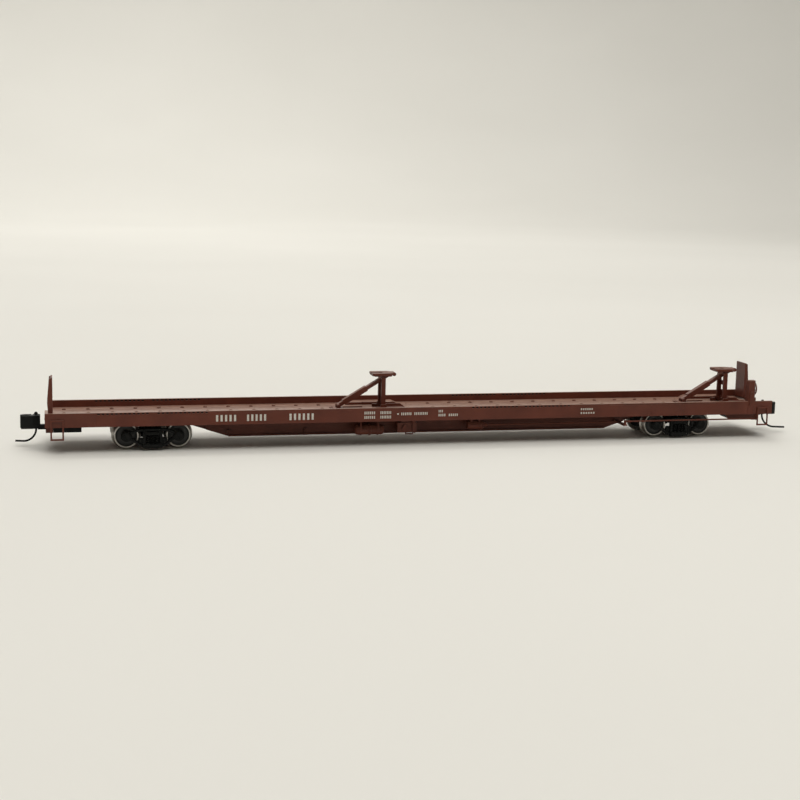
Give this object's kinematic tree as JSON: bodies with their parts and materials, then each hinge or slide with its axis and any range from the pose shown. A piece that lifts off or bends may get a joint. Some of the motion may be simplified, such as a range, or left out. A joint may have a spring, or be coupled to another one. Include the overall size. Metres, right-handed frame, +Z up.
{
  "type": "model flat car",
  "caption": "Long low freight wagon model with curbed deck, two folding trailer hitches, raised bridge plates, swivelling trucks, rolling wheelsets and swinging couplers.",
  "frame": {"origin": "middle of the car on the surface that its wheel flanges stand on", "axes": "+X along the car to the hand-brake end (end B), +Y across the car, +Z up"},
  "size_m": [0.175, 0.0184, 0.0156],
  "materials": {
    "painted_deck": "satin boxcar-red paint on moulded plastic",
    "painted_underframe": "satin boxcar-red paint on moulded plastic",
    "painted_hitch": "satin boxcar-red plastic",
    "painted_bridge": "satin boxcar-red plastic",
    "painted_step": "satin boxcar-red plastic",
    "painted_brake_gear": "satin boxcar-red plastic",
    "black_plastic": "satin black acetal",
    "blackened_wire": "blackened steel wire",
    "wheel_metal": "turned nickel-plated tread, darkened plate",
    "weight_steel": "plain steel bar",
    "screw_steel": "plated steel screw",
    "bronze_leaf": "phosphor-bronze strip"
  },
  "bodies": {
    "car_body": {"deck": "painted_deck", "underframe": "painted_underframe", "ballast_weight": "weight_steel", "truck_pin_a": "black_plastic", "truck_pin_b": "black_plastic", "pocket_lid_a": "black_plastic", "pocket_lid_b": "black_plastic", "lid_screw_a": "screw_steel", "lid_screw_b": "screw_steel", "centring_leaf_a": "bronze_leaf", "centring_leaf_b": "bronze_leaf", "hitch_base_mid": "painted_hitch", "hitch_base_end": "painted_hitch", "hitch_trunnions_mid": "painted_hitch", "hitch_trunnions_end": "painted_hitch", "bridge_pin_a": "painted_bridge", "bridge_pin_b": "painted_bridge", "brake_stand": "painted_brake_gear", "brake_grab": "painted_brake_gear", "hand_brake_rod": "painted_brake_gear", "brake_lever_bracket": "painted_brake_gear", "pull_rod": "painted_brake_gear", "brake_cylinder": "painted_brake_gear", "air_reservoir": "painted_brake_gear", "control_valve": "painted_brake_gear", "sill_step_an": "painted_step", "sill_step_af": "painted_step", "sill_step_bn": "painted_step", "sill_step_bf": "painted_step"},
    "truck_a": {"truck_frame_a": "black_plastic"},
    "truck_b": {"truck_frame_b": "black_plastic"},
    "brake_hand_wheel": {"brake_wheel": "painted_brake_gear"},
    "wheelset_1": {"axle_1": "black_plastic", "wheels_1": "wheel_metal"},
    "wheelset_2": {"axle_2": "black_plastic", "wheels_2": "wheel_metal"},
    "wheelset_3": {"axle_3": "black_plastic", "wheels_3": "wheel_metal"},
    "wheelset_4": {"axle_4": "black_plastic", "wheels_4": "wheel_metal"},
    "coupler_a": {"coupler_head_a": "black_plastic"},
    "knuckle_a": {"knuckle_a": "black_plastic", "trip_pin_a": "blackened_wire"},
    "bridge_a": {"bridge_plate_a": "painted_bridge"},
    "coupler_b": {"coupler_head_b": "black_plastic"},
    "knuckle_b": {"knuckle_b": "black_plastic", "trip_pin_b": "blackened_wire"},
    "bridge_b": {"bridge_plate_b": "painted_bridge"},
    "post_mid": {"hitch_post_mid": "painted_hitch", "hitch_head_pin_mid": "painted_hitch"},
    "head_mid": {"hitch_head_mid": "painted_hitch"},
    "strut_mid": {"hitch_strut_mid": "painted_hitch", "hitch_foot_pin_mid": "painted_hitch"},
    "shoe_mid": {"hitch_shoe_mid": "painted_hitch"},
    "post_end": {"hitch_post_end": "painted_hitch", "hitch_head_pin_end": "painted_hitch"},
    "head_end": {"hitch_head_end": "painted_hitch"},
    "strut_end": {"hitch_strut_end": "painted_hitch", "hitch_foot_pin_end": "painted_hitch"},
    "shoe_end": {"hitch_shoe_end": "painted_hitch"}
  },
  "joints": [
    {"name": "truck_a_swivel", "type": "hinge", "parent": "car_body", "child": "truck_a", "pos_m": [-0.05905, 0, 0.00495], "axis": [0, 0, 1], "range_deg": [-10, 10]},
    {"name": "truck_b_swivel", "type": "hinge", "parent": "car_body", "child": "truck_b", "pos_m": [0.05905, 0, 0.00495], "axis": [0, 0, 1], "range_deg": [-10, 10]},
    {"name": "wheelset_1_roll", "type": "hinge", "parent": "truck_a", "child": "wheelset_1", "pos_m": [-0.06445, 0, 0.00305], "axis": [0, 1, 0], "continuous": true},
    {"name": "wheelset_2_roll", "type": "hinge", "parent": "truck_a", "child": "wheelset_2", "pos_m": [-0.05365, 0, 0.00305], "axis": [0, 1, 0], "continuous": true},
    {"name": "wheelset_3_roll", "type": "hinge", "parent": "truck_b", "child": "wheelset_3", "pos_m": [0.05365, 0, 0.00305], "axis": [0, 1, 0], "continuous": true},
    {"name": "wheelset_4_roll", "type": "hinge", "parent": "truck_b", "child": "wheelset_4", "pos_m": [0.06445, 0, 0.00305], "axis": [0, 1, 0], "continuous": true},
    {"name": "coupler_a_swing", "type": "hinge", "parent": "car_body", "child": "coupler_a", "pos_m": [-0.0762, 0, 0.00433], "axis": [0, 0, 1], "range_deg": [-10, 10], "stiffness_Nm_per_rad": 0.00002},
    {"name": "knuckle_a_open", "type": "hinge", "parent": "coupler_a", "child": "knuckle_a", "pos_m": [-0.08275, 0.00055, 0.0055], "axis": [0, 0, -1], "range_deg": [0, 20], "stiffness_Nm_per_rad": 0.00001},
    {"name": "coupler_b_swing", "type": "hinge", "parent": "car_body", "child": "coupler_b", "pos_m": [0.0762, 0, 0.00433], "axis": [0, 0, 1], "range_deg": [-10, 10], "stiffness_Nm_per_rad": 0.00002},
    {"name": "knuckle_b_open", "type": "hinge", "parent": "coupler_b", "child": "knuckle_b", "pos_m": [0.08275, -0.00055, 0.0055], "axis": [0, 0, -1], "range_deg": [0, 20], "stiffness_Nm_per_rad": 0.00001},
    {"name": "bridge_a_fold", "type": "hinge", "parent": "car_body", "child": "bridge_a", "pos_m": [-0.0799, -0.0047, 0.0075], "axis": [0, -1, 0], "range_deg": [0, 90]},
    {"name": "bridge_b_fold", "type": "hinge", "parent": "car_body", "child": "bridge_b", "pos_m": [0.0799, 0.0047, 0.0075], "axis": [0, 1, 0], "range_deg": [0, 90]},
    {"name": "hitch_mid_fold", "type": "hinge", "parent": "car_body", "child": "post_mid", "pos_m": [-0.00875, 0, 0.00775], "axis": [0, 1, 0], "range_deg": [0, 80]},
    {"name": "head_mid_level", "type": "hinge", "parent": "post_mid", "child": "head_mid", "pos_m": [-0.00875, 0, 0.0136], "axis": [0, 1, 0], "range_deg": [-81, 1]},
    {"name": "strut_mid_fold", "type": "hinge", "parent": "post_mid", "child": "strut_mid", "pos_m": [-0.00875, 0, 0.0136], "axis": [0, 1, 0], "range_deg": [-55.16, 1]},
    {"name": "shoe_mid_level", "type": "hinge", "parent": "strut_mid", "child": "shoe_mid", "pos_m": [-0.0185, 0, 0.00775], "axis": [0, 1, 0], "range_deg": [-26.84, 1]},
    {"name": "hitch_end_fold", "type": "hinge", "parent": "car_body", "child": "post_end", "pos_m": [0.07245, 0, 0.00775], "axis": [0, 1, 0], "range_deg": [0, 80]},
    {"name": "head_end_level", "type": "hinge", "parent": "post_end", "child": "head_end", "pos_m": [0.07245, 0, 0.0136], "axis": [0, 1, 0], "range_deg": [-81, 1]},
    {"name": "strut_end_fold", "type": "hinge", "parent": "post_end", "child": "strut_end", "pos_m": [0.07245, 0, 0.0136], "axis": [0, 1, 0], "range_deg": [-55.16, 1]},
    {"name": "shoe_end_level", "type": "hinge", "parent": "strut_end", "child": "shoe_end", "pos_m": [0.0627, 0, 0.00775], "axis": [0, 1, 0], "range_deg": [-26.84, 1]},
    {"name": "brake_wheel_turn", "type": "hinge", "parent": "car_body", "child": "brake_hand_wheel", "pos_m": [0.0769, -0.007, 0.0112], "axis": [1, 0, 0], "continuous": true}
  ],
  "couplings": [
    {"joint": "head_mid_level", "follows": "hitch_mid_fold", "ratio": -1},
    {"joint": "strut_mid_fold", "follows": "hitch_mid_fold", "ratio": -0.67702},
    {"joint": "shoe_mid_level", "follows": "hitch_mid_fold", "ratio": -0.32298},
    {"joint": "head_end_level", "follows": "hitch_end_fold", "ratio": -1},
    {"joint": "strut_end_fold", "follows": "hitch_end_fold", "ratio": -0.67702},
    {"joint": "shoe_end_level", "follows": "hitch_end_fold", "ratio": -0.32298}
  ]
}
